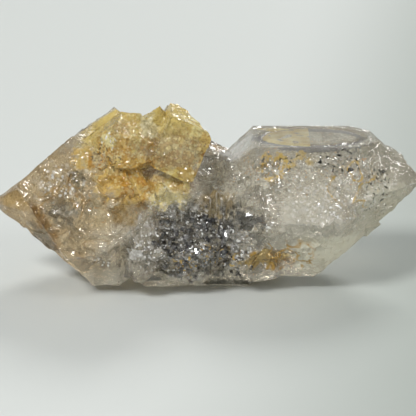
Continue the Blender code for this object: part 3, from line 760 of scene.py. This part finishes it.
def scatterTree(name, sizes, form, onFaces):
    # Puts copies of an object on points, or on the waist's faces, turned and sized at random.
    tree = newTree(name, sizes, ["Object", "Material"])
    seed = tree.interface.new_socket("Seed", in_out="INPUT", socket_type="NodeSocketInt")
    seed.default_value = form["seed"]
    add = partial(addNode, tree)
    given = add("NodeGroupInput")
    points = given["Geometry"]
    turn = add("FunctionNodeRandomValue", {"Max": (form["fullTurn"],) * 3, "Seed": given["Seed"]},
               data_type="FLOAT_VECTOR")[0]
    if onFaces:
        place = add("GeometryNodeInputPosition")[0]
        far = addDistance(add, place, waist)
        low, high = waist["crystalFade"]
        near = add("ShaderNodeMapRange", {"Value": far, "From Min": low, "From Max": high,
                                          "To Min": given["Density"], "To Max": 0.0})[0]
        height = add("ShaderNodeSeparateXYZ", {0: place})["Z"]
        low, high = waist["clearOfBase"]
        density = add("ShaderNodeMapRange", {"Value": height, "From Min": low * mm,
                                             "From Max": high * mm, "To Max": near})[0]
        spread = add("GeometryNodeDistributePointsOnFaces", {
            "Mesh": points, "Density": density, "Seed": given["Seed"]})
        points = spread["Points"]
        lean = add("FunctionNodeRandomValue", {
            "Min": (-1, -1, -1), "Max": (1, 1, 1), "Seed": form["leanSeed"]},
            data_type="FLOAT_VECTOR")[0]
        leaning = add("ShaderNodeVectorMath", {0: lean, "Scale": given["Lean"]}, operation="SCALE")[0]
        aim = add("ShaderNodeVectorMath", {0: spread["Normal"], 1: leaning}, operation="ADD")[0]
        turn = add("FunctionNodeAlignRotationToVector", {"Vector": aim}, axis="Z")[0]
    size = add("FunctionNodeRandomValue", {2: given["Smallest"], 3: given["Largest"],
                                           "Seed": given["Seed"]})[1]
    shape = add("GeometryNodeObjectInfo", {"Object": given["Object"]})["Geometry"]
    copies = add("GeometryNodeInstanceOnPoints", {"Points": points, "Instance": shape,
                                                  "Rotation": turn, "Scale": size})[0]
    real = add("GeometryNodeRealizeInstances", {"Geometry": copies})[0]
    finished = add("GeometryNodeSetMaterial", {"Geometry": real, "Material": given["Material"]})[0]
    add("NodeGroupOutput", {"Geometry": finished})
    return tree


def makeSmallCrystals(setup):
    shape = newObject("hex_point", hexPoint(pointForm))
    tree = scatterTree("small crystals", setup, scatterForm, onFaces=True)
    obj = newObject("small_crystals", skin.data.copy())
    grow(obj, tree, Object=shape, Material=makeClearQuartz(clearLooks))
    bpy.data.objects.remove(shape)
    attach(obj, "root")
    print("small crystals made:", len(obj.data.polygons), "faces")


makeSmallCrystals(smallCrystals)

# What is sealed in the quartz: white veils, golden iron-oxide flakes and dark specks. Each cloud
# has a place, a reach and a count.
inclusions = {
    "white_veils": {
        "light": "#fbf8ef", "dark": "#e6e2d8", "roughness": 0.5,
        "size": (0.12, 0.45), "flat": 0.04, "seed": 3,
        "clouds": [
            ((22.0, -7.0, 17.0), (9.0, 7.0, 8.0), 700),
            ((0.0, 5.0, 17.0), (42.0, 14.0, 14.0), 500),
        ],
        "veils": 34,
    },
    "rust_flakes": {
        "light": "#d89c32", "dark": "#b3701c", "roughness": 0.4,
        "size": (0.15, 0.6), "flat": 0.06, "seed": 5,
        "clouds": [
            ((-18.0, -9.0, 32.0), (8.0, 8.0, 7.0), 400),
            ((-5.0, -6.0, 31.0), (7.0, 7.0, 8.0), 250),
            ((-14.0, -11.0, 24.0), (8.0, 7.0, 6.0), 400),
            ((13.0, -8.0, 27.0), (6.0, 5.0, 4.0), 160),
            ((14.0, -8.0, 8.0), (7.0, 6.0, 3.0), 260),
            ((30.0, -6.0, 24.0), (6.0, 5.0, 4.0), 120),
            ((0.0, 4.0, 18.0), (42.0, 14.0, 16.0), 500),
        ],
    },
    "dark_specks": {
        "light": "#3a332b", "dark": "#1d1a17", "roughness": 0.6,
        "size": (0.12, 0.45), "flat": 0.5, "seed": 7,
        "clouds": [
            ((-2.0, -8.0, 12.0), (9.0, 8.0, 8.0), 250),
            ((6.0, -8.0, 17.0), (6.0, 7.0, 6.0), 80),
            ((30.0, -7.0, 28.0), (6.0, 4.0, 2.0), 120),
            ((0.0, 3.0, 14.0), (30.0, 13.0, 12.0), 200),
        ],
    },
}
inclusionBlotches = 1.0
cloudForm = {"spread": 0.55, "limit": 1.4}  # shares of a cloud's reach
veilForm = {
    "reachX": 40.0,
    "reachY": 15.0,
    "heights": (3.0, 34.0),
    "radius": (3.0, 8.5),
    "perVeil": 150,
    "spread": 0.5,  # of its radius
    "wave": 0.5,  # its height
    "waveTurn": 0.7,  # radians per millimetre
    "thickness": 0.03,  # of its radius
}
flakeForm = {"radius": 0.5, "uneven": 0.12, "width": 0.42}  # of a unit flake


lineUp = Vector((0.011, 0.007, 1)).normalized()  # off vertical, so that it runs along no face
pastFace = 1e-6  # metres


def insideCrystal(place, deep):
    # The nearest face looks away from a place inside the closed skin, and an odd number of faces
    # lies above it.
    nearest, normal, _, distance = skinFaces.find_nearest(place)
    if distance < deep or normal.dot(place - nearest) > 0 or place.z < deep:
        return False
    crossed = 0
    found = skinFaces.ray_cast(place, lineUp)[0]
    while found:
        crossed += 1
        found = skinFaces.ray_cast(found + lineUp * pastFace, lineUp)[0]
    return crossed % 2 == 1


def cloudPlaces(clouds, rng):
    for centre, reach, count in clouds:
        offsets = rng.normal(0, cloudForm["spread"], (count, 3))
        offsets = np.clip(offsets, -cloudForm["limit"], cloudForm["limit"])
        yield from (np.array(centre) + offsets * reach) * mm


def veilPlaces(count, rng, form):  # healed cracks: thin wavy sheets of tiny flakes
    for _ in range(count):
        centre = np.array([rng.uniform(-1, 1) * form["reachX"], rng.uniform(-1, 1) * form["reachY"],
                           rng.uniform(*form["heights"])])
        normal = Vector(rng.normal(size=3)).normalized()
        right = normal.orthogonal().normalized()
        sheet = np.array([right, normal.cross(right), normal])
        spread = rng.normal(0, form["spread"], (form["perVeil"], 3)) * rng.uniform(*form["radius"])
        waves = np.sin(spread[:, 0] * form["waveTurn"]) * form["wave"]
        spread[:, 2] = waves + spread[:, 2] * form["thickness"]
        yield from (centre + spread @ sheet) * mm


def pointsIn(setup, deep):
    rng = np.random.default_rng(setup["seed"])
    places = list(cloudPlaces(setup["clouds"], rng))
    places += veilPlaces(setup.get("veils", 0), rng, veilForm)
    return [Vector(place) for place in places if insideCrystal(Vector(place), deep)]


def flakeShape(flat, form):  # a unit flake: two low six-sided cones, base to base
    bm = bmesh.new()
    rim = []
    for i in range(6):
        turn, out = math.pi / 3 * i, form["radius"] + form["uneven"] * (i % 2)
        rim.append(bm.verts.new((math.cos(turn) * out, math.sin(turn) * form["width"], 0)))
    for height in (flat, -flat):
        top = bm.verts.new((0, 0, height))
        for i in range(6):
            corners = (rim[i], rim[(i + 1) % 6], top)
            bm.faces.new(corners if height > 0 else corners[::-1])
    mesh = bpy.data.meshes.new("flake")
    bm.to_mesh(mesh)
    bm.free()
    return mesh


def makeInclusions(name, setup):
    # matt and a little uneven in tone, so that they read as grains and not as paint
    material = blotchedMaterial(name.replace("_", " ") + ", sealed in quartz", setup["light"],
                                setup["dark"], inclusionBlotches, setup["roughness"])
    low, high = setup["size"]
    cloud = bpy.data.meshes.new(name)
    cloud.from_pydata(pointsIn(setup, high / 2 * mm), [], [])
    flake = newObject("flake", flakeShape(setup["flat"], flakeForm))
    sizes = {"Smallest": low * mm, "Largest": high * mm}
    tree = scatterTree(name, sizes, scatterForm, onFaces=False)
    obj = grow(newObject(name, cloud), tree, Object=flake, Material=material)
    bpy.data.objects.remove(flake)
    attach(obj, "root")
    print(name, "made:", len(obj.data.polygons), "faces")


for name, setup in inclusions.items():
    makeInclusions(name, setup)

# The chamber under the window: its oval wall, and a golden film over its left part.
chamber = {
    "centre": (22.05, 0.1),
    "halfLength": 10.8,
    "halfDepth": 6.2,
    "height": 30.4,
    "wallWidth": (1.0, 1.6),  # half of it, at the ends and at the sides
    "wallHeight": 0.32,
    "steps": 72,
    "corners": 8,
    "light": "#46455a",
    "dark": "#605f70",
    "blotchSize": 2.0,
    "roughness": 0.4,
}
film = {
    "left": 11.0,
    "right": 22.2,
    "front": -5.9,
    "back": 7.7,
    "height": 30.85,
    "sag": 0.1,
    "sagSize": 3,
    "cell": 0.28,
    "ovalShare": 0.93,  # of the chamber's oval
    "stripFrom": 5.5,  # behind this it goes on past the oval
    "holeSize": 1.8,
    "holesBelow": -0.3,
    "light": "#dfd6a0",
    "dark": "#c9b26a",
    "blotchSize": 3.0,
    "roughness": 0.5,
}


def makeChamberWall(setup):
    bm = bmesh.new()
    rings = []
    middleX, middleY = setup["centre"]
    count = setup["corners"]
    for step in range(setup["steps"]):
        turn = 2 * math.pi * step / setup["steps"]
        ring = []
        for corner in range(count):
            around = 2 * math.pi * corner / count
            outX, outY = (math.cos(around) * width for width in setup["wallWidth"])
            x = middleX + (setup["halfLength"] + outX) * math.cos(turn)
            y = middleY + (setup["halfDepth"] + outY) * math.sin(turn)
            z = setup["height"] + math.sin(around) * setup["wallHeight"]
            ring.append(bm.verts.new((x * mm, y * mm, z * mm)))
        rings.append(ring)
    for this, following in zip(rings, rings[1:] + rings[:1]):
        for a in range(count):
            b = (a + 1) % count
            bm.faces.new((this[a], following[a], following[b], this[b]))
    bmesh.ops.recalc_face_normals(bm, faces=bm.faces)
    mesh = bpy.data.meshes.new("chamber_wall")
    bm.to_mesh(mesh)
    bm.free()
    mesh.shade_smooth()
    # a healed wall in clear quartz: grey-violet and cloudy
    mesh.materials.append(blotchedMaterial("cloudy quartz, healed", setup["light"], setup["dark"],
                                           setup["blotchSize"], setup["roughness"]))
    obj = newObject("chamber_wall", mesh)
    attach(obj, "root")


def makeIronFilm(setup, oval):
    bm = bmesh.new()
    cell = setup["cell"]
    middleX, middleY = oval["centre"]
    corners = {}

    def corner(i, j):
        if (i, j) not in corners:
            x, y = setup["left"] + i * cell, setup["front"] + j * cell
            sag = setup["sag"] * noise.noise(Vector((x, y, 0)) / setup["sagSize"])
            corners[i, j] = bm.verts.new((x * mm, y * mm, (setup["height"] - sag) * mm))
        return corners[i, j]

    for i in range(int((setup["right"] - setup["left"]) / cell)):
        for j in range(int((setup["back"] - setup["front"]) / cell)):
            x, y = setup["left"] + (i + 0.5) * cell, setup["front"] + (j + 0.5) * cell
            out = math.hypot((x - middleX) / oval["halfLength"], (y - middleY) / oval["halfDepth"])
            hole = noise.noise(Vector((x, y, 3)) / setup["holeSize"]) < setup["holesBelow"]
            if (out < setup["ovalShare"] or y > setup["stripFrom"]) and not hole:
                bm.faces.new((corner(i, j), corner(i + 1, j), corner(i + 1, j + 1), corner(i, j + 1)))
    mesh = bpy.data.meshes.new("iron_film")
    bm.to_mesh(mesh)
    bm.free()
    # iron oxide settled on the chamber wall: golden, thin and matt
    mesh.materials.append(blotchedMaterial("iron oxide film", setup["light"], setup["dark"],
                                           setup["blotchSize"], setup["roughness"]))
    obj = newObject("iron_film", mesh)
    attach(obj, "root")


makeChamberWall(chamber)
makeIronFilm(film, chamber)
print("chamber made")
